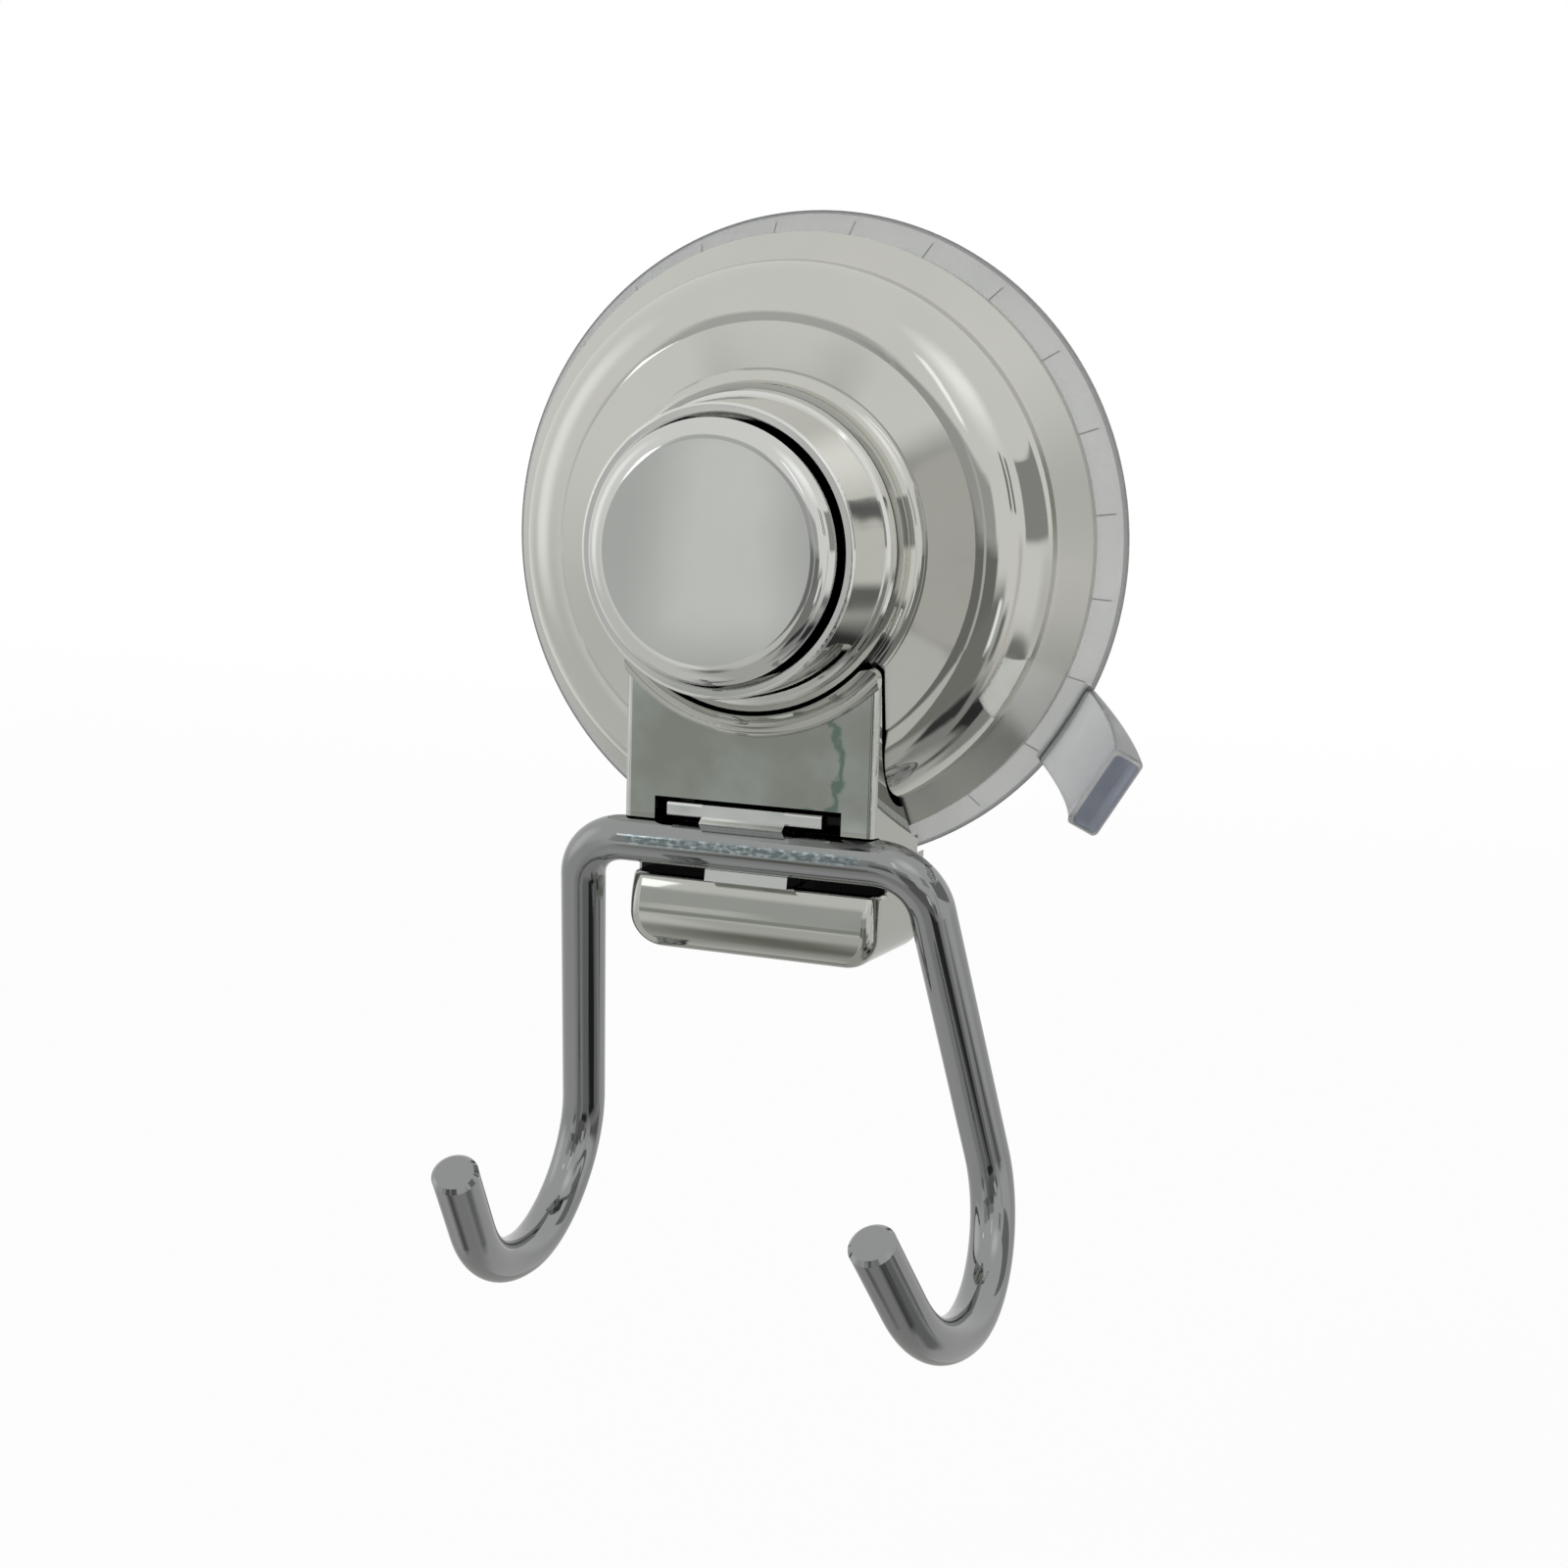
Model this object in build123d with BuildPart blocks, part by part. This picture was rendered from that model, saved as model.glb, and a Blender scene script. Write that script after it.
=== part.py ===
from build123d import *
import os
from math import cos, radians, sin, sqrt, tan

os.makedirs("parts", exist_ok=True)

# Suction cup hook with a push button and a hinged double wire hook, in millimetres.
# The wall is the plane y = 0, the hook stands out from it towards -y, and z is up.
# The origin is the middle of the cup's sealing face.
# A depth is a distance out from the wall, so a depth d lies at y = -d.

RADIAL = Plane(origin=(0, 0, 0), x_dir=(1, 0, 0), z_dir=(0, 0, -1))  # radius, depth
FRONT = Plane(origin=(0, 0, 0), x_dir=(1, 0, 0), z_dir=(0, -1, 0))  # x, z, seen from the front
SIDE = Plane(origin=(0, 0, 0), x_dir=(0, -1, 0), z_dir=(-1, 0, 0))  # depth, z
PRESS_AXIS = Axis((0, 0, 0), (0, -1, 0))

# Suction cup
cup_radius = 36.0
cup_edge = 0.75  # thickness of the rim's thin edge
seal_width = 1.4  # flat sealing ring at the rim
cup_hollow = 5.0  # depth of the hollow at the middle
cup_slope_width = 3.0  # the thin skirt that shows round the cover
cup_skirt_depth = 3.2
cup_shoulder_radius = 20.0
cup_shoulder_depth = 5.2
cup_boss_radius = 7.0
cup_boss_root = 7.2
cup_boss_depth = 12.0
tab_angle = 30.6  # below +x, seen from the front
tab_overlap = 1.6  # how far its root lies inside the rim
tab_back = 0.15
tab_root_width = 9.7
tab_tip_width = 9.1
tab_root_thickness = 1.0
tab_tip_thickness = 3.5
tab_curl_radius = 40.0
tab_start_angle = 39.0  # how far it already leans forward at the rim
tab_end_angle = 68.0
tab_corner = 1.3

# Stem moulded into the cup's boss
stem_radius = 3.0
stem_foot_radius = 5.2
stem_foot_thickness = 1.4
stem_skin = 2.4  # soft material left under the foot
stem_top = 24.5
stem_chamfer = 0.3
moulding_gap = 0.05
pilot_radius = 1.25
pilot_depth = 9.0

# Cover
wall = 1.8
dome_radius = 33.3
dome_rim_depth = 5.3
lip_gap = 0.35  # cover's lip to the cup's skirt
crease_radius = 30.2
crease_depth = 8.2
shoulder_radius = 6.8
pedestal_foot_radius = 18.6
pedestal_foot_depth = 15.8
pedestal_radius = 16.95
pedestal_depth = 18.8
floor_thickness = 2.0
spigot_height = 1.2
spigot_wall = 1.6
stem_fit = 0.08

# Collar ring
bore_radius = 13.7
collar_depth = 27.6
collar_lip_radius = 14.5
collar_top_radius = 14.85
collar_round = 0.4
collar_foot_height = 1.5
collar_ledge_drop = 0.15
band_low_radius = 15.75
step_radius = 16.1
collar_foot_radius = 16.35
collar_foot_round = 0.15
collar_bore_chamfer = 0.25
seat_fit = 0.05

# Push button and plunger
button_face_depth = 30.25
button_face_radius = 11.2
button_edge_depth = 29.0
button_gap = 0.4
button_top = 2.0
button_wall = 1.5
button_travel = 2.6
button_stop_gap = 1.5
plunger_thickness = 2.0
plunger_gap = 0.1
hub_radius = 5.2
hub_length = 5.6
hub_web = 1.5
washer_radius = 4.2
washer_thickness = 0.5
stem_screw_head_radius = 2.3
stem_screw_head_height = 1.1
stem_screw_length = 9.0
screw_radius = 1.2
screw_round_share = 0.4  # of the head's height
screw_slot_width = 0.5
screw_slot_share = 0.55  # of the head's width

# Return spring
spring_radius = 8.4
spring_wire = 0.55
spring_turns = 3.5

# Wire hook
wire_radius = 2.5
bar_depth = 16.44
bar_height = -32.2
corner_half_width = 19.6
corner_bend = 6.0
arm_splay = 8.7
arm_lean = 18.7
arm_length = 36.0
hook_twist = 3.0
hook_bend = 12.0
hook_bend_angle = 112.0
open_bend = 20.6
open_bend_angle = 50.5
tip_length = 11.1
tip_chamfer = 0.45

# Bracket
bracket_front = 17.2
bracket_rear = 1.3
bracket_half_width = 14.3  # at the front face
bracket_draft = 2.2
bracket_bottom = -44.9
bracket_corner = 3.8
bracket_wall = 1.7
bracket_edge = 0.8
cover_gap = 0.1
cup_gap = 0.5  # bracket's rear edge round the cup's rim
cup_clear = 0.2
arch_gap = 0.5
arch_front = 18.9
arch_lip = 0.2  # flat land round the opening
arch_edge = 0.3
arch_cove_width = 1.35
arch_cove_rise = 0.55  # above the plate's face, where the cove meets the bead
arch_bead_width = 0.9
arch_sag = 0.22  # how far the cove and the bead bow
reveal_gap = 0.75  # shadow gap along the bracket's foot
reveal_depth = 0.9
ear_round = 1.0
groove_gap = 0.1
groove_mouth_drop = 1.35  # chin's top edge below the groove
groove_floor = 12.5
window_half_width = 10.7
window_height = 2.5
window_floor = 13.4
core_step = 1.2
core_round = 1.3
chin_front = 16.0
chin_edge_depth = 15.0
chin_round = 1.6
chin_top_round = 0.6
floor_back = 10.6
boss_x = 9.2
boss_z = -20.6
boss_radius = 2.2
boss_gap = 0.15
pad_radius = 3.7
pad_depth = 12.2
boss_recess = 0.2
washer_head_radius = 3.3
washer_head_height = 1.5
bracket_screw_length = 4.0

# Clip
clip_bore_gap = 0.05
clip_wall = 1.25
clip_half_width = 4.75
clip_gap = 0.25
clip_bar_round = 0.3
clip_mouth_high = 48.0
clip_mouth_low = -80.0
bar_half_width = 8.85
bar_front = 18.1
bar_rear = 16.2
bar_top = -27.5
bar_bottom = -28.95
lug_front = 16.65
lug_gap = 0.12
clip_stud_radius = 2.2
clip_stud_gap = 0.15
clip_stud_drop = 1.5
clip_screw_head_radius = 3.1
clip_screw_length = 2.6

# Places that several pieces share
beyond = 2 * cup_radius  # far enough to cut right through
alike = 0.01  # two places nearer than this are the same
nearly = 0.9  # an edge this much along an axis counts as along it
dome_centre_radius = crease_radius - shoulder_radius
dome_top_depth = crease_depth + shoulder_radius
shelf_depth = pedestal_foot_depth + 0.2
floor_under = shelf_depth - floor_thickness
button_radius = bore_radius - button_gap
button_under = button_face_depth - button_top
cap_bore = button_radius - button_wall
plunger_front = button_under - plunger_gap
plunger_back = plunger_front - plunger_thickness
skirt_end = shelf_depth + button_travel + button_stop_gap
foot_back = cup_hollow + stem_skin
foot_front = foot_back + stem_foot_thickness
web_front = stem_top + hub_web
groove_radius = wire_radius + groove_gap
groove_top = bar_height + groove_radius
groove_bottom = bar_height - groove_radius
chin_top = groove_bottom - groove_mouth_drop
window_top = groove_top + window_height
arch_radius = pedestal_radius + arch_gap
arch_land = arch_radius + arch_lip
arch_edge_end = (arch_land + arch_edge, arch_front - arch_edge)
arch_cove_end = (arch_land + arch_cove_width, bracket_front + arch_cove_rise)
arch_bead_end = (arch_cove_end[0] + arch_bead_width, bracket_front)
clip_bore = wire_radius + clip_bore_gap
clip_radius = clip_bore + clip_wall
clip_pocket = clip_radius + clip_gap
clip_stud_z = bar_height - clip_stud_drop
lug_rear = groove_floor + lug_gap
skirt_radius = cup_radius - cup_slope_width
lip_end = cup_skirt_depth + lip_gap
collar_foot_depth = pedestal_depth + seat_fit
band_step_depth = collar_foot_depth + collar_foot_height


def lip_run():
    """Direction of the cover's sloping lip, outward and back to the wall."""
    run = Vector(dome_radius - crease_radius, dome_rim_depth - crease_depth)
    return run.normalized()


def dome_section(inset, rim_depth, back):
    """Closed half section under the cover's outside, moved in by inset and ending at depth back."""
    run = lip_run()
    normal = Vector(-run.Y, run.X)
    radius = shoulder_radius - inset
    slant = radius * sqrt(0.5)
    neck = dome_centre_radius + radius
    on_lip = Vector(crease_radius, crease_depth) - normal * inset
    neck_depth = on_lip.Y + (neck - on_lip.X) * run.Y / run.X
    rim = on_lip.X + (rim_depth - on_lip.Y) * run.X / run.Y
    rise = max(neck_depth - crease_depth, 0)
    arc_end = (dome_centre_radius + sqrt(radius**2 - rise**2), crease_depth + rise)
    with BuildLine(Plane.XY) as line:
        Polyline(
            (dome_centre_radius, dome_top_depth - inset),
            (pedestal_foot_radius, pedestal_foot_depth - inset),
            (0, pedestal_foot_depth - inset),
            (0, back),
            (rim, back),
            (rim, rim_depth),
        )
        if neck_depth < crease_depth - alike:
            Polyline((rim, rim_depth), (neck, neck_depth), arc_end)
        else:
            Line((rim, rim_depth), arc_end)
        ThreePointArc(
            arc_end,
            (dome_centre_radius + slant, crease_depth + slant),
            (dome_centre_radius, dome_top_depth - inset),
        )
    return line.line


def pedestal_section(gap, top):
    """Closed half section of the cover's pedestal and its cove, moved out by gap, up to top."""
    cove = pedestal_foot_radius - pedestal_radius
    foot = (pedestal_foot_radius + gap, pedestal_foot_depth)
    rise = (pedestal_radius + gap, pedestal_foot_depth + cove)
    with BuildLine(Plane.XY) as line:
        Polyline(
            foot,
            (foot[0], floor_under),
            (0, floor_under),
            (0, top),
            (rise[0], top),
            rise,
        )
        RadiusArc(foot, rise, cove)
    return line.line


# The pull tab curls forward from the rim, and widens and thickens to its tip.
tab_dir = Vector(cos(radians(tab_angle)), 0, -sin(radians(tab_angle)))
TAB_SIDE = Plane(origin=(0, 0, 0), x_dir=tab_dir, z_dir=tab_dir.cross(Vector(0, -1, 0)))
TAB_FRONT = Plane(origin=(0, 0, 0), x_dir=tab_dir, z_dir=(0, -1, 0))
tab_start = radians(tab_start_angle)
tab_turn = radians(tab_end_angle)
tab_root = (cup_radius - tab_overlap, tab_back)
tab_root_face = (
    tab_root[0] - tab_root_thickness * sin(tab_start),
    tab_root[1] + tab_root_thickness * cos(tab_start),
)
tab_end = (
    tab_root[0] + tab_curl_radius * (sin(tab_turn) - sin(tab_start)),
    tab_root[1] + tab_curl_radius * (cos(tab_start) - cos(tab_turn)),
)
tab_face = (
    tab_end[0] - tab_tip_thickness * sin(tab_turn),
    tab_end[1] + tab_tip_thickness * cos(tab_turn),
)
tab_heading = (cos(tab_start), sin(tab_start))
with BuildPart() as pull_tab:
    with BuildSketch(TAB_SIDE):
        with BuildLine():
            TangentArc(tab_root, tab_end, tangent=tab_heading)
            Line(tab_end, tab_face)
            TangentArc(tab_root_face, tab_face, tangent=tab_heading)
            Line(tab_root_face, tab_root)
        make_face()
    extrude(amount=tab_tip_width, both=True)
    with BuildSketch(TAB_FRONT):
        with BuildLine():
            Polyline(
                (tab_root_face[0], -tab_root_width / 2),
                (tab_end[0] + tab_tip_thickness, -tab_tip_width / 2),
                (tab_end[0] + tab_tip_thickness, tab_tip_width / 2),
                (tab_root_face[0], tab_root_width / 2),
                close=True,
            )
        make_face()
    extrude(amount=beyond, mode=Mode.INTERSECT)
    tip_middle = (Vector(*tab_end) + Vector(*tab_face)) / 2
    tip_face = pull_tab.faces().sort_by_distance(TAB_SIDE.from_local_coords(tip_middle))[0]
    tip_sides = tip_face.edges().sort_by(Edge.length)[0:2]
    fillet(tip_sides, tab_corner)

with BuildPart() as suction_cup:
    with BuildSketch(RADIAL):
        with BuildLine():
            seal_radius = cup_radius - seal_width
            sphere = (seal_radius**2 + cup_hollow**2) / (2 * cup_hollow)
            half = seal_radius / 2
            half_depth = cup_hollow - (sphere - sqrt(sphere**2 - half**2))
            Polyline(
                (seal_radius, 0),
                (cup_radius, 0),
                (cup_radius, cup_edge),
                (skirt_radius, cup_skirt_depth),
                (cup_shoulder_radius, cup_shoulder_depth),
                (cup_boss_radius, cup_boss_root),
                (cup_boss_radius, cup_boss_depth),
                (0, cup_boss_depth),
                (0, cup_hollow),
            )
            ThreePointArc((0, cup_hollow), (half, half_depth), (seal_radius, 0))
        make_face()
    revolve(axis=PRESS_AXIS)
    add(pull_tab.part)
    with BuildSketch(FRONT.offset(foot_back - moulding_gap)):
        Circle(stem_foot_radius + moulding_gap)
    extrude(amount=stem_foot_thickness + 2 * moulding_gap, mode=Mode.SUBTRACT)
    with BuildSketch(FRONT.offset(foot_back)):
        Circle(stem_radius + moulding_gap)
    extrude(amount=cup_boss_depth, mode=Mode.SUBTRACT)
suction_cup.part.label = "suction_cup"

with BuildPart() as stem_insert:
    with BuildSketch(FRONT.offset(foot_back)):
        Circle(stem_foot_radius)
    extrude(amount=stem_foot_thickness)
    with BuildSketch(FRONT.offset(foot_front)):
        Circle(stem_radius)
    extrude(amount=stem_top - foot_front)
    chamfer(stem_insert.edges().sort_by(Axis.Y)[0], stem_chamfer)
    with BuildSketch(FRONT.offset(stem_top)):
        Circle(pilot_radius)
    extrude(amount=-pilot_depth, mode=Mode.SUBTRACT)
stem_insert.part.label = "stem_insert"

# The cover's hollow, with a flat pad left round each bracket screw.
with BuildPart() as dome_hollow:
    with BuildSketch(RADIAL):
        add(dome_section(wall, lip_end, lip_end - 1))
        make_face()
    revolve(axis=PRESS_AXIS)
    with BuildSketch(FRONT.offset(floor_under)):
        Circle(dome_radius)
    extrude(amount=beyond, mode=Mode.SUBTRACT)
    with BuildSketch(FRONT.offset(pad_depth)):
        with Locations((boss_x, boss_z), (-boss_x, boss_z)):
            Circle(pad_radius)
    extrude(amount=beyond, mode=Mode.SUBTRACT)

with BuildPart() as dome_cover:
    with BuildSketch(RADIAL):
        add(dome_section(0, dome_rim_depth, lip_end))
        make_face()
    revolve(axis=PRESS_AXIS)
    with BuildSketch(RADIAL):
        add(pedestal_section(0, pedestal_depth))
        make_face()
    revolve(axis=PRESS_AXIS)
    with BuildSketch(FRONT.offset(pedestal_depth)):
        Circle(bore_radius + spigot_wall)
    extrude(amount=spigot_height)
    add(dome_hollow.part, mode=Mode.SUBTRACT)
    with BuildSketch(FRONT.offset(shelf_depth)):
        Circle(bore_radius)
    extrude(amount=collar_depth, mode=Mode.SUBTRACT)
    with BuildSketch(FRONT):
        Circle(stem_radius + stem_fit)
    extrude(amount=collar_depth, mode=Mode.SUBTRACT)
    with BuildSketch(FRONT):
        with Locations((boss_x, boss_z), (-boss_x, boss_z)):
            Circle(boss_radius + boss_gap)
    extrude(amount=collar_depth, mode=Mode.SUBTRACT)
dome_cover.part.label = "dome_cover"

with BuildPart() as collar_ring:
    with BuildSketch(RADIAL):
        with BuildLine():
            Polyline(
                (collar_top_radius, collar_depth - collar_round),
                (band_low_radius, band_step_depth),
                (step_radius, band_step_depth - collar_ledge_drop),
                (collar_foot_radius, collar_foot_depth + collar_foot_round),
                (collar_foot_radius - collar_foot_round, collar_foot_depth),
                (bore_radius, collar_foot_depth),
                (bore_radius, collar_depth),
                (collar_lip_radius, collar_depth),
            )
            TangentArc(
                (collar_lip_radius, collar_depth),
                (collar_top_radius, collar_depth - collar_round),
                tangent=(1, 0),
            )
        make_face()
    revolve(axis=PRESS_AXIS)
    with BuildSketch(FRONT.offset(pedestal_depth)):
        Circle(bore_radius + spigot_wall + seat_fit)
    extrude(amount=spigot_height + seat_fit, mode=Mode.SUBTRACT)
    bore_edge = collar_ring.edges().group_by(Axis.Y)[0].sort_by(Edge.length)[0]
    chamfer(bore_edge, collar_bore_chamfer)
collar_ring.part.label = "collar_ring"

with BuildPart() as push_button:
    with BuildSketch(RADIAL):
        with BuildLine():
            Polyline(
                (button_radius, button_edge_depth),
                (button_radius, skirt_end),
                (cap_bore, skirt_end),
                (cap_bore, button_under),
                (0, button_under),
                (0, button_face_depth),
                (button_face_radius, button_face_depth),
            )
            TangentArc(
                (button_face_radius, button_face_depth),
                (button_radius, button_edge_depth),
                tangent=(1, 0),
            )
        make_face()
    revolve(axis=PRESS_AXIS)
push_button.part.label = "push_button"

with BuildPart() as plunger:
    with BuildSketch(FRONT.offset(plunger_back)):
        Circle(cap_bore - plunger_gap)
    extrude(amount=plunger_thickness)
    with BuildSketch(FRONT.offset(plunger_back - hub_length)):
        Circle(hub_radius)
    extrude(amount=hub_length)
    with BuildSketch(FRONT.offset(plunger_back - hub_length)):
        Circle(stem_radius + seat_fit)
    extrude(amount=stem_top + seat_fit - plunger_back + hub_length, mode=Mode.SUBTRACT)
    with BuildSketch(FRONT.offset(web_front)):
        Circle(washer_radius + plunger_gap)
    extrude(amount=plunger_thickness + hub_length, mode=Mode.SUBTRACT)
    with BuildSketch(FRONT.offset(stem_top)):
        Circle(pilot_radius + plunger_gap)
    extrude(amount=hub_web, mode=Mode.SUBTRACT)
plunger.part.label = "plunger"

with BuildPart() as stem_washer:
    with BuildSketch(FRONT.offset(web_front)):
        Circle(washer_radius)
        Circle(pilot_radius + plunger_gap, mode=Mode.SUBTRACT)
    extrude(amount=washer_thickness)
stem_washer.part.label = "stem_washer"


def pan_screw(head_seat, length, head_radius, head_height, facing):
    """A cross-slot pan screw whose shank runs from head_seat against the way its head faces."""
    with BuildPart() as screw:
        with BuildSketch(FRONT.offset(head_seat)):
            Circle(head_radius)
        extrude(amount=facing * head_height)
        rim_end = screw.edges().sort_by(Axis.Y, reverse=facing < 0)[0]
        fillet(rim_end, head_height * screw_round_share)
        with BuildSketch(FRONT.offset(head_seat)):
            Circle(screw_radius)
        extrude(amount=-facing * length)
        with BuildSketch(FRONT.offset(head_seat + facing * head_height)):
            Rectangle(2 * head_radius * screw_slot_share, screw_slot_width)
            Rectangle(screw_slot_width, 2 * head_radius * screw_slot_share)
        extrude(amount=-facing * head_height / 2, mode=Mode.SUBTRACT)
    return screw.part


stem_screw = pan_screw(
    web_front + washer_thickness,
    stem_screw_length,
    stem_screw_head_radius,
    stem_screw_head_height,
    1,
)
stem_screw.label = "stem_screw"

# The spring's ends are ground flat on the shelf and under the plunger.
spring_length = plunger_back - shelf_depth
with BuildPart() as return_spring:
    with BuildLine() as coil:
        Helix(
            pitch=spring_length / spring_turns,
            height=spring_length,
            radius=spring_radius,
            center=(0, -shelf_depth, 0),
            direction=(0, -1, 0),
        )
    with BuildSketch(Plane(origin=coil.line @ 0, z_dir=coil.line % 0)):
        Circle(spring_wire)
    sweep(is_frenet=True)
    with BuildSketch(FRONT.offset(shelf_depth)):
        Circle(spring_radius + wall)
    extrude(amount=spring_length, mode=Mode.INTERSECT)
return_spring.part.label = "return_spring"

# The bracket starts as its front outline, drafted towards the front.
with BuildPart() as bracket_block:
    depth = arch_front - bracket_rear
    rear_half = bracket_half_width + depth * tan(radians(bracket_draft))
    with BuildSketch(FRONT.offset(bracket_rear)):
        with BuildLine():
            Polyline(
                (-rear_half, 0),
                (-rear_half, bracket_bottom),
                (rear_half, bracket_bottom),
                (rear_half, 0),
                close=True,
            )
        make_face()
    extrude(amount=depth, taper=bracket_draft)
    low_corners = (
        bracket_block.edges()
        .filter_by(lambda e: abs((e % 0.5).Y) > nearly)
        .group_by(Axis.Z)[0]
    )
    fillet(low_corners, bracket_corner)

# The shadow gap lies over the cover, outside the bracket's inner edge.
with BuildPart() as foot_reveal:
    with BuildSketch(RADIAL):
        add(dome_section(-cover_gap - reveal_gap, dome_rim_depth, 0))
        make_face()
    revolve(axis=PRESS_AXIS)
    with BuildSketch(FRONT):
        Rectangle(2 * (bracket_half_width - reveal_depth), beyond)
    extrude(amount=arch_front, mode=Mode.SUBTRACT)

# Its side profile has the plate, the wire groove and the pillow-shaped chin.
with BuildPart() as bracket:
    with BuildSketch(SIDE):
        with BuildLine():
            Polyline(
                (bracket_rear, 0),
                (arch_front, 0),
                (arch_front, bar_height),
                (groove_floor, bar_height),
                (groove_floor, chin_top),
                (chin_edge_depth, chin_top),
            )
            ThreePointArc(
                (chin_edge_depth, chin_top),
                (chin_front, (chin_top + bracket_bottom) / 2),
                (chin_edge_depth, bracket_bottom),
            )
            Polyline(
                (chin_edge_depth, bracket_bottom),
                (bracket_rear, bracket_bottom),
                (bracket_rear, 0),
            )
        make_face()
    extrude(amount=beyond, both=True)
    add(bracket_block.part, mode=Mode.INTERSECT)
    chin_face = bracket.faces().filter_by(GeomType.CYLINDER).sort_by(Axis.Y)[0]
    chin_top_edge = chin_face.edges().sort_by(Axis.Z)[-1]
    fillet(chin_face.edges() - ShapeList([chin_top_edge]), chin_round)
    chin_face = bracket.faces().filter_by(GeomType.PLANE).filter_by(Axis.Z)
    chin_face = chin_face.filter_by(lambda f: abs(f.center().Z - chin_top) < alike)[0]
    front_loop = chin_face.edges().filter_by(lambda e: -e.center().Y > groove_floor + alike)
    fillet(front_loop, chin_top_round)
    # The plate's face lies below the raised arch round the collar.
    with BuildSketch(RADIAL):
        with BuildLine():
            Polyline(
                arch_bead_end,
                (beyond, bracket_front),
                (beyond, arch_front + arch_lip),
                (0, arch_front + arch_lip),
                (0, arch_front),
                (arch_land, arch_front),
                arch_edge_end,
            )
            SagittaArc(arch_edge_end, arch_cove_end, -arch_sag)
            SagittaArc(arch_cove_end, arch_bead_end, arch_sag)
        make_face()
    revolve(axis=PRESS_AXIS, mode=Mode.SUBTRACT)
    # Round opening over the pedestal and its cove, with rounded ear tips.
    with BuildSketch(FRONT):
        Circle(arch_radius)
    extrude(amount=beyond, mode=Mode.SUBTRACT)
    ear_tips = bracket.edges().filter_by(
        lambda e: e.center().Z > bar_height / 2 and abs((e % 0.5).Y) > nearly
    )
    fillet(ear_tips, ear_round)
    with BuildSketch(RADIAL):
        add(pedestal_section(arch_gap, arch_front + arch_lip))
        make_face()
    revolve(axis=PRESS_AXIS, mode=Mode.SUBTRACT)
    plate_edges = bracket.edges().filter_by(
        lambda e: abs((e % 0.5).Z) > nearly
        and abs(e.center().Y + bracket_front) < alike
        and e.length > 3 * bracket_edge
    )
    fillet(plate_edges, bracket_edge)
    add(foot_reveal.part, mode=Mode.SUBTRACT)
    # Seat on the cover, clear of the cup's rim.
    with BuildSketch(RADIAL):
        add(dome_section(-cover_gap, dome_rim_depth, 0))
        make_face()
    revolve(axis=PRESS_AXIS, mode=Mode.SUBTRACT)
    with BuildSketch(FRONT):
        Circle(cup_radius + cup_gap)
    extrude(amount=cup_skirt_depth + cup_clear, mode=Mode.SUBTRACT)
    # Moulded hollow from behind, with an even wall under the groove and the chin.
    with BuildSketch(SIDE):
        with BuildLine():
            Polyline(
                (0, -arch_radius),
                (bracket_front - bracket_wall, -arch_radius),
                (bracket_front - bracket_wall, window_top + bracket_wall),
                (window_floor - bracket_wall, window_top + core_step),
                (window_floor - bracket_wall, window_top),
                (floor_back, groove_top),
                (floor_back, chin_top - core_step),
                (groove_floor, chin_top - bracket_wall),
                (groove_floor, bracket_bottom + bracket_wall + core_round),
                (groove_floor - core_round, bracket_bottom + bracket_wall),
                (0, bracket_bottom + bracket_wall),
                close=True,
            )
        make_face()
    extrude(amount=bracket_half_width - bracket_wall, both=True, mode=Mode.SUBTRACT)
    # Two bosses reach through the cover for the screws.
    with BuildSketch(FRONT.offset(pad_depth + boss_recess)):
        with Locations((boss_x, boss_z), (-boss_x, boss_z)):
            Circle(boss_radius)
    extrude(amount=bracket_front - bracket_wall / 2 - pad_depth - boss_recess)
    with BuildSketch(FRONT.offset(pad_depth)):
        with Locations((boss_x, boss_z), (-boss_x, boss_z)):
            Circle(pilot_radius)
    extrude(amount=bracket_screw_length + boss_recess, mode=Mode.SUBTRACT)
    # Groove for the wire, window for the clip's bar, and the clip's round pocket.
    with BuildSketch(SIDE):
        with Locations((bar_depth, bar_height)):
            Circle(groove_radius)
        with BuildLine():
            Polyline(
                (bar_depth, groove_top),
                (arch_front, groove_top),
                (arch_front, chin_top),
                (groove_floor, chin_top),
                (groove_floor, bar_height),
                (bar_depth, bar_height),
                close=True,
            )
        make_face()
    extrude(amount=beyond, both=True, mode=Mode.SUBTRACT)
    with BuildSketch(FRONT.offset(window_floor)):
        with Locations((0, (window_top + bar_height) / 2)):
            Rectangle(2 * window_half_width, window_top - bar_height)
    extrude(amount=arch_front, mode=Mode.SUBTRACT)
    with BuildSketch(SIDE):
        with Locations((bar_depth, bar_height)):
            Circle(clip_pocket)
    extrude(amount=clip_half_width + clip_gap, both=True, mode=Mode.SUBTRACT)
    with BuildSketch(FRONT):
        with Locations((0, clip_stud_z)):
            Circle(clip_stud_radius + clip_stud_gap)
    extrude(amount=bar_depth, mode=Mode.SUBTRACT)
bracket.part.label = "bracket"

bracket_screws = Compound(
    children=[
        pan_screw(
            pad_depth, bracket_screw_length, washer_head_radius, washer_head_height, -1
        ).moved(Location((x, 0, boss_z)))
        for x in (boss_x, -boss_x)
    ]
)
bracket_screws.label = "bracket_screws"

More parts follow.
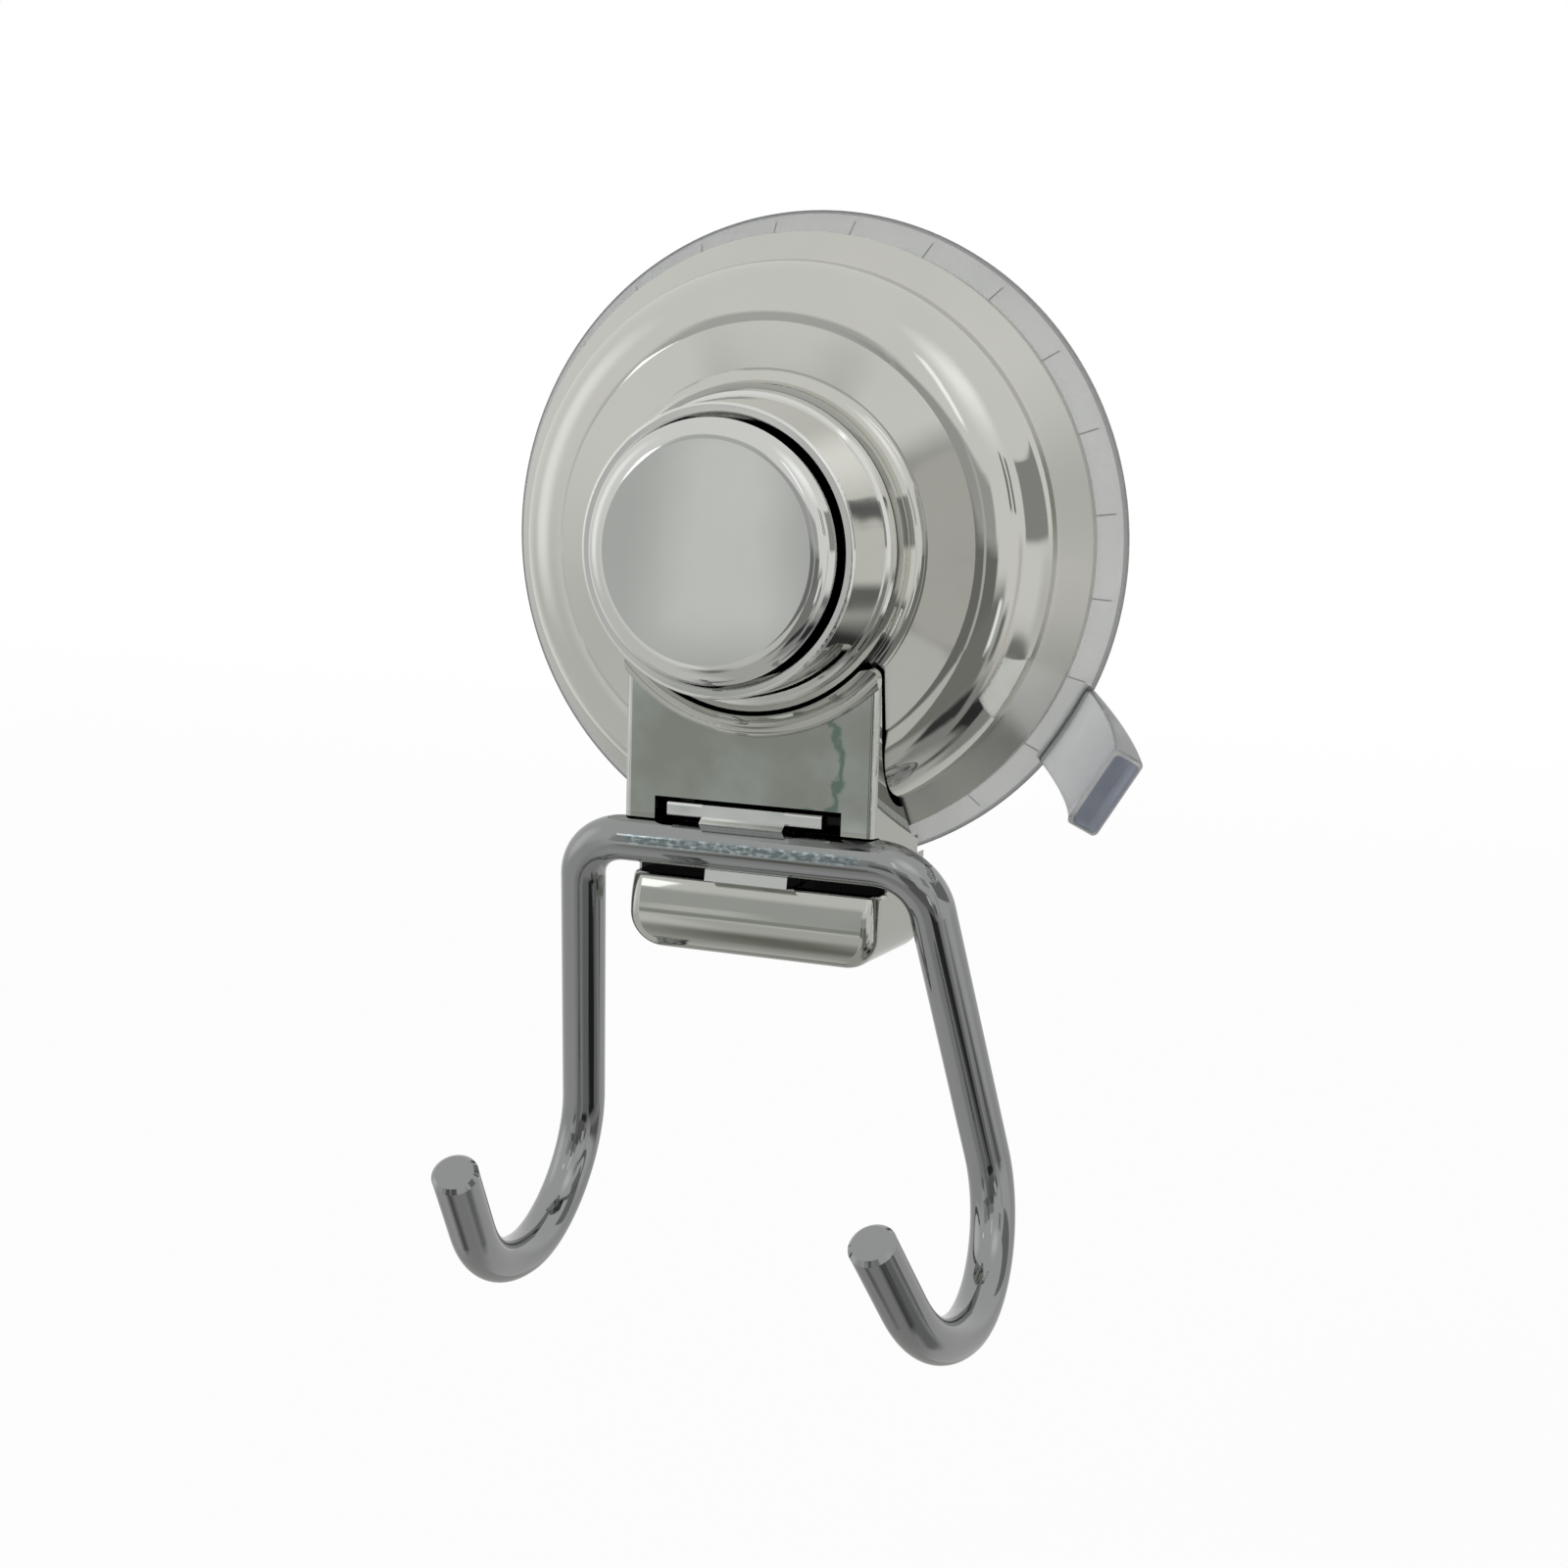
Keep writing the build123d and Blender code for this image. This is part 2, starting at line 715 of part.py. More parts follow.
# The clip snaps round the wire, with a cross bar above and a lug below.
with BuildPart() as wire_clip:
    with BuildSketch(SIDE):
        with Locations((bar_depth, bar_height)):
            Circle(clip_radius)
        with Locations(((lug_front + lug_rear) / 2, (chin_top + lug_gap + groove_bottom) / 2)):
            Rectangle(lug_front - lug_rear, groove_bottom - chin_top - lug_gap)
        with Locations(((bar_front + bar_rear) / 2, (bar_top + bar_bottom) / 2)):
            Rectangle(bar_front - bar_rear, bar_top - bar_bottom)
        with Locations((bar_depth, bar_height)):
            Circle(clip_bore, mode=Mode.SUBTRACT)
        with BuildLine():
            reach = 3 * clip_radius
            high = radians(clip_mouth_high)
            low = radians(clip_mouth_low)
            Polyline(
                (bar_depth, bar_height),
                (bar_depth + reach * cos(high), bar_height + reach * sin(high)),
                (bar_depth + reach, bar_height),
                (bar_depth + reach * cos(low), bar_height + reach * sin(low)),
                close=True,
            )
        make_face(mode=Mode.SUBTRACT)
    extrude(amount=clip_half_width, both=True)
    with BuildSketch(SIDE):
        with Locations(((bar_front + bar_rear) / 2, (bar_top + bar_bottom) / 2)):
            RectangleRounded(bar_front - bar_rear, bar_top - bar_bottom, clip_bar_round)
    extrude(amount=bar_half_width, both=True)
    with BuildSketch(FRONT.offset(floor_back + boss_recess)):
        with Locations((0, clip_stud_z)):
            Circle(clip_stud_radius)
    extrude(amount=bar_depth - clip_bore - floor_back)
    with BuildSketch(FRONT.offset(floor_back)):
        with Locations((0, clip_stud_z)):
            Circle(pilot_radius)
    extrude(amount=clip_screw_length + boss_recess, mode=Mode.SUBTRACT)
    with BuildSketch(SIDE):
        with Locations((bar_depth, bar_height)):
            Circle(clip_bore)
    extrude(amount=clip_half_width, both=True, mode=Mode.SUBTRACT)
wire_clip.part.label = "wire_clip"

clip_screw = pan_screw(
    floor_back, clip_screw_length, clip_screw_head_radius, washer_head_height, -1
).moved(Location((0, 0, clip_stud_z)))
clip_screw.label = "clip_screw"


def bend_wire(start, along, inward, radius, angle):
    """Draw an arc that leaves start along one way and turns inward, and say where it ends."""
    centre = start + inward * radius
    half = radians(angle / 2)
    whole = radians(angle)
    middle = centre - inward * (radius * cos(half)) + along * (radius * sin(half))
    end = centre - inward * (radius * cos(whole)) + along * (radius * sin(whole))
    ThreePointArc(start, middle, end)
    turned = inward * sin(whole) + along * cos(whole)
    new_inward = inward * cos(whole) - along * sin(whole)
    return end, turned, new_inward


# One wire: a crossbar in the bracket's groove, two splayed arms, and a hook at each end.
splay = radians(arm_splay)
lean = radians(arm_lean)
twist = radians(hook_twist)
arm = Vector(sin(splay) * cos(lean), sin(lean), -cos(splay) * cos(lean))
outward = Vector(1, 0, 0)
corner = Vector(corner_half_width, -bar_depth, bar_height)
corner_turn = outward.get_angle(arm)
corner_cut = corner_bend * sin(radians(corner_turn)) / (1 + cos(radians(corner_turn)))
bar_end = corner - outward * corner_cut
corner_inward = (arm - outward * arm.dot(outward)).normalized()
facing = Vector(-sin(twist), -cos(twist), 0)
hook_inward = (facing - arm * facing.dot(arm)).normalized()
arm_end = corner + arm * arm_length
with BuildPart() as wire_hook:
    with BuildLine() as path:
        Line((0, -bar_depth, bar_height), bar_end)
        arm_start, _, _ = bend_wire(bar_end, outward, corner_inward, corner_bend, corner_turn)
        Line(arm_start, arm_end)
        low_end, along, inward = bend_wire(
            arm_end, arm, hook_inward, hook_bend, hook_bend_angle
        )
        open_end, along, inward = bend_wire(low_end, along, inward, open_bend, open_bend_angle)
        tip = open_end + along * tip_length
        Line(open_end, tip)
    with BuildSketch(Plane(origin=(0, -bar_depth, bar_height), z_dir=(1, 0, 0))):
        Circle(wire_radius)
    sweep(path=path.line)
    flat_ends = wire_hook.faces().filter_by(GeomType.PLANE)
    chamfer(flat_ends.sort_by_distance(tip)[0].edges(), tip_chamfer)
    mirror(about=Plane.YZ)
wire_hook.part.label = "wire_hook"

for piece in (
    suction_cup.part,
    stem_insert.part,
    dome_cover.part,
    collar_ring.part,
    push_button.part,
    plunger.part,
    stem_washer.part,
    stem_screw,
    return_spring.part,
    bracket.part,
    bracket_screws,
    wire_clip.part,
    clip_screw,
    wire_hook.part,
):
    export_step(piece, f"parts/{piece.label}.step")
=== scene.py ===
from math import cos, pi, radians, sin, sqrt, tan

import bmesh
import bpy
from mathutils import Matrix, Vector


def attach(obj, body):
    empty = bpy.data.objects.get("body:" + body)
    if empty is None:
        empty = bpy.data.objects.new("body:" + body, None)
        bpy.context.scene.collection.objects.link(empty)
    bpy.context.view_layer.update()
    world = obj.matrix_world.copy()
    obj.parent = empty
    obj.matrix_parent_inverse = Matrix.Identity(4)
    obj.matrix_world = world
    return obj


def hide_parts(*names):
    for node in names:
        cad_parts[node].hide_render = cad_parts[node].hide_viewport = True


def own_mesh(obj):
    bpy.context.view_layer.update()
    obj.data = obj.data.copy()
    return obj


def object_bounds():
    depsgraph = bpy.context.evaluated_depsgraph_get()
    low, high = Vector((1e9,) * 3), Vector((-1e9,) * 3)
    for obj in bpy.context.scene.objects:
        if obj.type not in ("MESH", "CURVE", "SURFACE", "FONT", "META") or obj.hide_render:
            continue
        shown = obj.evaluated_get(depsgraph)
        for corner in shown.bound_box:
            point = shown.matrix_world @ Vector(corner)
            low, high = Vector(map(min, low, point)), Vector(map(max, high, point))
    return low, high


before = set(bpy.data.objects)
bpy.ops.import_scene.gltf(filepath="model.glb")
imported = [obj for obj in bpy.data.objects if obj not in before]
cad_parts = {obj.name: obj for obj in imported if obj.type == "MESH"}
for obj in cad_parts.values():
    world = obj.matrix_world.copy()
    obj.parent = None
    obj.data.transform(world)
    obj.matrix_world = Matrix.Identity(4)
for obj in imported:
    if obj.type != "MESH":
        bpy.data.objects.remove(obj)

CAD_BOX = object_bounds()
MM = 0.001
MICRON = 0.000001
CUP_RADIUS = 36.0  # millimetres

# Camera, from the photograph's perspective of the cup, cover, button and wire
CAMERA_YAW = radians(20.892)
CAMERA_PITCH = radians(9.284)
CAMERA_ROLL = radians(1.683)
CAMERA_OFFSET = Vector((-3.010, -27.016, 238.994)) * MM
FOCAL_PIXELS = 2181.95
FRAME_PIXELS = 1600
SENSOR_WIDTH = 36.0

# Painted shade in the chrome's crevices: its reach in metres, then how open a place has to be
# for the painted shade to start lifting and for the plate's own colour
CREVICE_SHADE = (0.0014, 0.10, 0.48)
COVER_CREVICE_SHADE = (0.003, 0.30, 0.68)
BRACKET_CREVICE_SHADE = (0.0022, 0.12, 0.50)
PAINTED_SHADE_COLOUR = (0.02, 0.02, 0.02)

# Regions with marks and painted light (the plate's stain, painted shade in the groove and
# window, a painted reflection on the crossbar), as spans of x, depth out from the wall and z,
# each with how softly it ends, in millimetres. None leaves a direction open.
PLATE = (None, (17.0, 17.22, 0.04), (-29.0, -14.0, 0.1))
GROOVE = ((-14.25, 14.25, 0.05), (0.0, 14.6, 0.2), (-36.3, -29.5, 0.05))
WINDOW = ((-10.8, 10.8, 0.05), (0.0, 16.5, 0.3), (-29.7, -27.0, 0.05))
CROSSBAR_FRONT = ((-12.5, 12.5, 1.5), (18.3, 19.2, 0.2), (-32.2, -31.45, 0.25))

# Stain left by water on the bracket's plate: part of a wavering ring, in millimetres
STAIN_CENTRE = (4.6, -22.6)  # x and z
STAIN_RADIUS = 6.0
STAIN_HALF_WIDTH = 0.1
STAIN_FADE = 0.6
STAIN_WAVER = 5.0
STAIN_START = 2.0  # how far right of its centre the ring is whole

CLOUD_COLOUR = (0.70, 0.73, 0.72)
STAIN_COLOUR = (0.30, 0.40, 0.36)
# The crossbar's painted reflection: a dark teal band, with light speckle as painted highlights
PAINTED_REFLECTION_COLOUR = (0.25, 0.30, 0.31)
PAINTED_SPECKLE_COLOUR = (0.58, 0.65, 0.67)

# Satin plating of the cover's rim, up to a depth out from the wall in millimetres
SATIN_DEPTH = 8.4
SATIN_FADE = 0.7
SATIN_ROUGHNESS = 0.33

# Clear plastic of the cup: its darker rim, which is painted shade, and where the tab's colour
# starts and is whole, as distances from the rim in millimetres
RIM_SHADE_BAND = 0.35
RIM_SHADE_FADE = 0.15
RIM_SHADE_SHARE = 0.4
TAB_COLOUR_SPAN = (0.1, 0.8)


def node_tree(data):
    """Empty node tree of a material or world."""
    data.use_nodes = True
    data.node_tree.nodes.clear()
    return data.node_tree


def add_node(tree, kind, **values):
    """Adds a node and sets its properties, or its sockets by name."""
    node = tree.nodes.new(kind)
    for name, value in values.items():
        if hasattr(node, name):
            setattr(node, name, value)
        else:
            node.inputs[name.replace("_", " ")].default_value = value
    return node


def math_node(tree, operation, first, second=None, third=None):
    """A math node, fed by sockets or numbers. Returns its output."""
    node = tree.nodes.new("ShaderNodeMath")
    node.operation = operation
    for socket, value in zip(node.inputs, (first, second, third)):
        if value is None:
            continue
        if isinstance(value, (int, float)):
            socket.default_value = value
        else:
            tree.links.new(value, socket)
    return node.outputs[0]


def soft_step(tree, value, low, high):
    """0 below low, 1 above high, smooth between."""
    node = tree.nodes.new("ShaderNodeMapRange")
    node.interpolation_type = "SMOOTHSTEP"
    node.inputs["From Min"].default_value = low
    node.inputs["From Max"].default_value = high
    tree.links.new(value, node.inputs["Value"])
    return node.outputs["Result"]


def mix_colour(tree, factor, first, second):
    """Mix of two colours, each a socket or a tuple, by a socket."""
    node = tree.nodes.new("ShaderNodeMix")
    node.data_type = "RGBA"
    tree.links.new(factor, node.inputs["Factor"])
    for name, value in (("A", first), ("B", second)):
        socket = [s for s in node.inputs if s.name == name and s.type == "RGBA"][0]
        if isinstance(value, tuple):
            socket.default_value = (*value, 1)
        else:
            tree.links.new(value, socket)
    return [s for s in node.outputs if s.type == "RGBA"][0]


def own_axes(tree):
    """The object's own x, y and z, in metres."""
    place = tree.nodes.new("ShaderNodeTexCoord")
    axes = tree.nodes.new("ShaderNodeSeparateXYZ")
    tree.links.new(place.outputs["Object"], axes.inputs[0])
    return axes.outputs


def noise(tree, scale, detail=3.0, stretch=(1, 1, 1)):
    """Noise in the object's own space, in cells per metre."""
    place = tree.nodes.new("ShaderNodeTexCoord")
    mapping = tree.nodes.new("ShaderNodeMapping")
    mapping.inputs["Scale"].default_value = stretch
    texture = add_node(tree, "ShaderNodeTexNoise", Scale=scale, Detail=detail)
    tree.links.new(place.outputs["Object"], mapping.inputs["Vector"])
    tree.links.new(mapping.outputs["Vector"], texture.inputs["Vector"])
    return texture.outputs["Fac"]


def surface(name):
    """A material with one principled shader and its output."""
    material = bpy.data.materials.new(name)
    tree = node_tree(material)
    shader = tree.nodes.new("ShaderNodeBsdfPrincipled")
    output = tree.nodes.new("ShaderNodeOutputMaterial")
    tree.links.new(shader.outputs[0], output.inputs["Surface"])
    return material, tree, shader


def roughness_and_bump(tree, shader, polish, scale, bump_height, bump_scale):
    """Uneven polish between two roughness values, with a fine surface ripple."""
    patches = noise(tree, scale, 4.0)
    node = tree.nodes.new("ShaderNodeMapRange")
    node.inputs["From Min"].default_value = 0.3
    node.inputs["From Max"].default_value = 0.7
    node.inputs["To Min"].default_value = polish[0]
    node.inputs["To Max"].default_value = polish[1]
    tree.links.new(patches, node.inputs["Value"])
    tree.links.new(node.outputs["Result"], shader.inputs["Roughness"])
    ripple = noise(tree, bump_scale, 2.0)
    bump = add_node(tree, "ShaderNodeBump", Distance=bump_height, Strength=1.0)
    tree.links.new(ripple, bump.inputs["Height"])
    tree.links.new(bump.outputs["Normal"], shader.inputs["Normal"])


def painted_crevice_shade(tree, reach, low, high):
    """Painted shade: 0 in narrow gaps and steps, where shade falls, and 1 in the open."""
    node = add_node(tree, "ShaderNodeAmbientOcclusion", samples=8, Distance=reach)
    return soft_step(tree, node.outputs["AO"], low, high)


def mottled(tree, colour, darkest, scale, detail):
    """The colour with cloudy patches, down to the darkest share of it."""
    dark = tuple(darkest * c for c in colour)
    return mix_colour(tree, noise(tree, scale, detail), dark, colour)


def chromed(name, colour, low, high, bump_height, gap=CREVICE_SHADE, marks_and_painted_light=None):
    """Chrome plate, with painted shade in its crevices. Marks and painted light, if given,
    change its colour: stains, painted shade and painted reflections.
    """
    material, tree, shader = surface(name)
    tint = mottled(tree, colour, darkest=0.93, scale=90, detail=4.0)
    if marks_and_painted_light:
        tint = marks_and_painted_light(tree, tint)
    # Painted shade, near black, where the chrome lies in a crevice.
    tint = mix_colour(tree, painted_crevice_shade(tree, *gap), PAINTED_SHADE_COLOUR, tint)
    tree.links.new(tint, shader.inputs["Base Color"])
    shader.inputs["Metallic"].default_value = 1.0
    roughness_and_bump(tree, shader, (low, high), 260, bump_height, 120)
    return material


def inside(tree, value, low, high, soft):
    """1 from low to high, fading to 0 over soft on each side, all in millimetres."""
    offset = math_node(tree, "SUBTRACT", value, (low + high) / 2 * MM)
    away = math_node(tree, "ABSOLUTE", offset)
    half = (high - low) / 2
    return soft_step(tree, away, (half + soft) * MM, half * MM)


def times(tree, *shares):
    """Product of several sockets."""
    product = shares[0]
    for share in shares[1:]:
        product = math_node(tree, "MULTIPLY", product, share)
    return product


def distance(tree, across, up):
    """Length of the vector with these two parts."""
    squares = [math_node(tree, "POWER", side, 2.0) for side in (across, up)]
    return math_node(tree, "SQRT", math_node(tree, "ADD", *squares))


def region(tree, spans):
    """1 in a region with marks or painted light, fading to 0 at its sides."""
    x, y, z = own_axes(tree)
    depth = math_node(tree, "MULTIPLY", y, -1.0)
    sides = zip((x, depth, z), spans)
    return times(tree, *(inside(tree, side, *span) for side, span in sides if span))


def bracket_stain_and_painted_shade(tree, tint):
    """A water stain and cloudy patches on the bracket's plate, and painted shade, near black,
    in its groove and window.
    """
    plate = region(tree, PLATE)
    cloud = soft_step(tree, noise(tree, 130, 3.0), 0.35, 0.7)
    tint = mix_colour(tree, times(tree, cloud, plate), tint, CLOUD_COLOUR)
    x, _, z = own_axes(tree)
    across = math_node(tree, "SUBTRACT", x, STAIN_CENTRE[0] * MM)
    up = math_node(tree, "SUBTRACT", z, STAIN_CENTRE[1] * MM)
    uneven = math_node(tree, "SUBTRACT", noise(tree, 320, 4.0), 0.5)
    away = distance(tree, across, up)
    away = math_node(tree, "MULTIPLY_ADD", uneven, STAIN_WAVER * MM, away)
    near, far = STAIN_RADIUS - STAIN_HALF_WIDTH, STAIN_RADIUS + STAIN_HALF_WIDTH
    ring = inside(tree, away, near, far, STAIN_FADE)
    ring = times(tree, ring, plate, soft_step(tree, across, 0.0, STAIN_START * MM))
    tint = mix_colour(tree, ring, tint, STAIN_COLOUR)
    # Painted shade: the groove and window are coloured near black.
    painted_recess_shade = math_node(tree, "MAXIMUM", region(tree, GROOVE), region(tree, WINDOW))
    return mix_colour(tree, painted_recess_shade, tint, PAINTED_SHADE_COLOUR)


def bar_painted_reflection(tree, tint):
    """Painted reflection along the front of the wire's crossbar: a dark teal band with fine
    light speckle as painted highlights.
    """
    reflection_band = region(tree, CROSSBAR_FRONT)
    tint = mix_colour(tree, reflection_band, tint, PAINTED_REFLECTION_COLOUR)
    painted_speckle = soft_step(tree, noise(tree, 2600, 5.0, (0.5, 1, 1)), 0.44, 0.66)
    return mix_colour(tree, times(tree, painted_speckle, reflection_band), tint, PAINTED_SPECKLE_COLOUR)


def dull_rim(material):
    """Makes the plating satin on the side next to the wall."""
    tree = material.node_tree
    shader = next(node for node in tree.nodes if node.type == "BSDF_PRINCIPLED")
    y = own_axes(tree)[1]
    far, near = SATIN_DEPTH + SATIN_FADE, SATIN_DEPTH - SATIN_FADE
    low = soft_step(tree, y, -far * MM, -near * MM)
    polish = shader.inputs["Roughness"].links[0].from_socket
    satin = math_node(tree, "MULTIPLY_ADD", low, SATIN_ROUGHNESS, polish)
    tree.links.new(satin, shader.inputs["Roughness"])


def plain_metal(name, colour, low, high):
    """Dull plated steel, mottled and finely pitted."""
    material, tree, shader = surface(name)
    tint = mottled(tree, colour, darkest=0.8, scale=400, detail=4.0)
    tree.links.new(tint, shader.inputs["Base Color"])
    shader.inputs["Metallic"].default_value = 1.0
    roughness_and_bump(tree, shader, (low, high), 900, 10 * MICRON, 1500)
    return material


def moulded_plastic(name, colour):
    """Opaque plastic with a slightly uneven skin."""
    material, tree, shader = surface(name)
    tint = mottled(tree, colour, darkest=0.9, scale=250, detail=3.0)
    tree.links.new(tint, shader.inputs["Base Color"])
    roughness_and_bump(tree, shader, (0.35, 0.5), 700, 10 * MICRON, 1800)
    return material


def clear_pvc(name, low, high, edge_shade_colour, tab_colour):
    """Clear soft plastic, cloudy from low to high, with painted shade at its rim and where seen
    edge on, and tinted on the tab.
    """
    material, tree, shader = surface(name)
    tint = mix_colour(tree, noise(tree, 160, 4.0), low, high)
    x, _, z = own_axes(tree)
    radius = distance(tree, x, z)
    # Painted shade: a darker band just inside the rim.
    rim_shade = inside(tree, radius, CUP_RADIUS - RIM_SHADE_BAND, CUP_RADIUS, RIM_SHADE_FADE)
    tint = mix_colour(tree, rim_shade, tint, tuple(RIM_SHADE_SHARE * c for c in low))
    start, whole = ((CUP_RADIUS + beyond) * MM for beyond in TAB_COLOUR_SPAN)
    tint = mix_colour(tree, soft_step(tree, radius, start, whole), tint, tab_colour)
    # Painted shade: darker and bluish where the plastic is seen edge on.
    facing_shade = add_node(tree, "ShaderNodeLayerWeight", Blend=0.35)
    tint = mix_colour(tree, facing_shade.outputs["Facing"], tint, edge_shade_colour)
    tree.links.new(tint, shader.inputs["Base Color"])
    shader.inputs["IOR"].default_value = 1.50
    shader.inputs["Transmission Weight"].default_value = 0.80
    roughness_and_bump(tree, shader, (0.12, 0.24), 300, 10 * MICRON, 300)
    return material


def dress(name, material):
    """Gives a CAD node a better material."""
    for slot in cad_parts[name].material_slots:
        slot.material = material


# All these parts are chrome; the brightness of each copy is painted light and shade for the
# surroundings that part mirrors, darkest on the wire.
COVER_CHROME = chromed(
    "chromed_cover", (0.73, 0.73, 0.69), 0.03, 0.07, 10 * MICRON, gap=COVER_CREVICE_SHADE
)
dull_rim(COVER_CHROME)
COLLAR_CHROME = chromed("chromed_collar", (0.88, 0.88, 0.86), 0.03, 0.06, 6 * MICRON)
BUTTON_CHROME = chromed("chromed_button", (0.79, 0.80, 0.78), 0.03, 0.06, 6 * MICRON)
BRACKET_CHROME = chromed(
    "chromed_bracket",
    (0.60, 0.61, 0.57),
    0.03,
    0.06,
    5 * MICRON,
    gap=BRACKET_CREVICE_SHADE,
    marks_and_painted_light=bracket_stain_and_painted_shade,
)
CLIP_CHROME = chromed("chromed_clip", (0.92, 0.94, 0.93), 0.08, 0.20, 30 * MICRON)
WIRE_CHROME = chromed(
    "chromed_wire", (0.38, 0.39, 0.395), 0.04, 0.08, 4 * MICRON, marks_and_painted_light=bar_painted_reflection
)
ZINC = plain_metal("zinc_steel", (0.62, 0.62, 0.60), 0.25, 0.4)
WHITE_PLASTIC = moulded_plastic("white_plastic", (0.80, 0.80, 0.77))
PVC = clear_pvc(
    "clear_pvc",
    (0.57, 0.58, 0.56),
    (0.67, 0.68, 0.655),
    edge_shade_colour=(0.10, 0.11, 0.15),
    tab_colour=(0.86, 0.87, 0.86),
)
PVC_LINE = clear_pvc(
    "clear_pvc_line",
    (0.16, 0.16, 0.16),
    (0.22, 0.22, 0.22),
    edge_shade_colour=(0.10, 0.11, 0.15),
    tab_colour=(0.5, 0.5, 0.5),
)
# Painted shade: the tab's end face is a darker, bluish copy of the clear plastic.
PVC_SHADED_END = clear_pvc(
    "clear_pvc_shaded_end",
    (0.24, 0.26, 0.34),
    (0.34, 0.37, 0.46),
    edge_shade_colour=(0.16, 0.18, 0.26),
    tab_colour=(0.26, 0.29, 0.39),
)

dress("dome_cover", COVER_CHROME)
dress("collar_ring", COLLAR_CHROME)
dress("push_button", BUTTON_CHROME)
dress("bracket", BRACKET_CHROME)
dress("wire_clip", CLIP_CHROME)
dress("wire_hook", WIRE_CHROME)
for part in ("return_spring", "stem_screw", "stem_washer", "bracket_screws", "clip_screw"):
    dress(part, ZINC)
for part in ("stem_insert", "plunger"):
    dress(part, WHITE_PLASTIC)


# Suction cup, as radius and depth out from the wall, in millimetres
CUP_EDGE = 0.75
CUP_SEAL = 34.6
CUP_HOLLOW = 5.0
BOSS_RADIUS = 7.0
BOSS_TOP = 12.0
STEM_BORE = 3.05
FOOT_RADIUS = 5.25
FOOT_SPAN = (7.35, 8.85)
CUP_OUTSIDE = (  # the third value is how far the corner is rounded
    (CUP_RADIUS, 0.0, 0.25),
    (CUP_RADIUS, CUP_EDGE, 0.25),
    (33.0, 3.2, 0.6),
    (20.0, 5.2, 3.0),
    (BOSS_RADIUS, 7.2, 1.2),
    (BOSS_RADIUS, BOSS_TOP, 0.4),
    (STEM_BORE, BOSS_TOP, 0.2),
    (STEM_BORE, FOOT_SPAN[1], 0.0),
    (FOOT_RADIUS, FOOT_SPAN[1], 0.0),
    (FOOT_RADIUS, FOOT_SPAN[0], 0.0),
    (0.0, FOOT_SPAN[0], 0.0),
)
HOLLOW_STEPS = 25
PROFILE_STEP = 1.2
ROUND_STEPS = 5
ROUND_SHARE = 0.48  # the most of an edge that one round may take
ON_AXIS = 1e-6  # a ring with a smaller radius is one point

# Fine radial lines across the cup's skirt
CUP_LINES = 24
CUP_LINE_HALF = 0.09
CUP_LINE_DEPTH = 0.10
CUP_LINE_SPAN = (33.0, 35.9)
CUP_LINE_LOWEST = 0.9
CUP_STEPS = 9  # between two lines

# Pull tab: where it leaves the rim, its curl, and its sizes from root to tip
TAB_ANGLE = 30.6
TAB_ROOT = 34.4
TAB_BACK = 0.15
TAB_CURL_RADIUS = 40.0
TAB_CURL = (39.0, 68.0)
TAB_WIDTHS = (9.7, 9.1)
TAB_THICKNESSES = (1.0, 3.5)
TAB_ROUND = (0.6, 0.5)  # along its width and through its thickness
TAB_ROUND_GROWTH = (0.5, 1.0)
TAB_ROUND_MOST = 0.9  # of half its thickness
TAB_CORNER_STEPS = 6
TAB_STEPS = 28
TAB_END = ((0.0, -0.5), (0.1, -0.18), (0.35, 0.0))  # shrink and push of the last rings

CUP_MATERIALS = (PVC, PVC_LINE, PVC_SHADED_END)
LINE_SLOT, END_SLOT = 1, 2
SMOOTH_ANGLE = 35


def rounded(points):
    """The points of an open line whose corners are rounded by their third value."""
    line = []
    for i, (x, y, radius) in enumerate(points):
        here = Vector((x, y))
        if radius == 0 or i in (0, len(points) - 1):
            line.append(here)
            continue
        before = Vector(points[i - 1][:2]) - here
        after = Vector(points[i + 1][:2]) - here
        half = before.angle(after) / 2
        longest = ROUND_SHARE * min(before.length, after.length)
        cut = min(radius / tan(half), longest)
        start = here + before.normalized() * cut
        end = here + after.normalized() * cut
        for k in range(ROUND_STEPS + 1):
            t = k / ROUND_STEPS
            line.append(start * (1 - t) ** 2 + here * 2 * t * (1 - t) + end * t**2)
    return line


def cup_profile():
    """Half section of the cup: the hollow from its middle to the seal, then the outside."""
    seal = CUP_SEAL
    sphere = (seal**2 + CUP_HOLLOW**2) / (2 * CUP_HOLLOW)
    hollow = []
    for k in range(HOLLOW_STEPS):
        radius = seal * k / HOLLOW_STEPS
        hollow.append(Vector((radius, CUP_HOLLOW - (sphere - sqrt(sphere**2 - radius**2)))))
    outside = rounded(((seal, 0.0, 0.0),) + CUP_OUTSIDE)
    line = []
    for a, b in zip(outside, outside[1:]):
        steps = max(1, round((b - a).length / PROFILE_STEP))
        line += [a.lerp(b, k / steps) for k in range(steps)]
    return hollow + line + [outside[-1]]


def wall_point(radius, depth, angle):
    """A point of the body of revolution, in metres."""
    return Vector((radius * cos(angle), -depth, radius * sin(angle))) * MM


def line_angles():
    """Angles round the cup, each with 1 in the middle of a line and 0 elsewhere."""
    angles = []
    for k in range(CUP_LINES):
        middle = 2 * pi * (k + 0.5) / CUP_LINES
        width = CUP_LINE_HALF / CUP_RADIUS
        angles += [(middle - width, 0), (middle, 1), (middle + width, 0)]
        gap = 2 * pi / CUP_LINES - 2 * width
        angles += [(middle + width + gap * j / CUP_STEPS, 0) for j in range(1, CUP_STEPS)]
    return angles


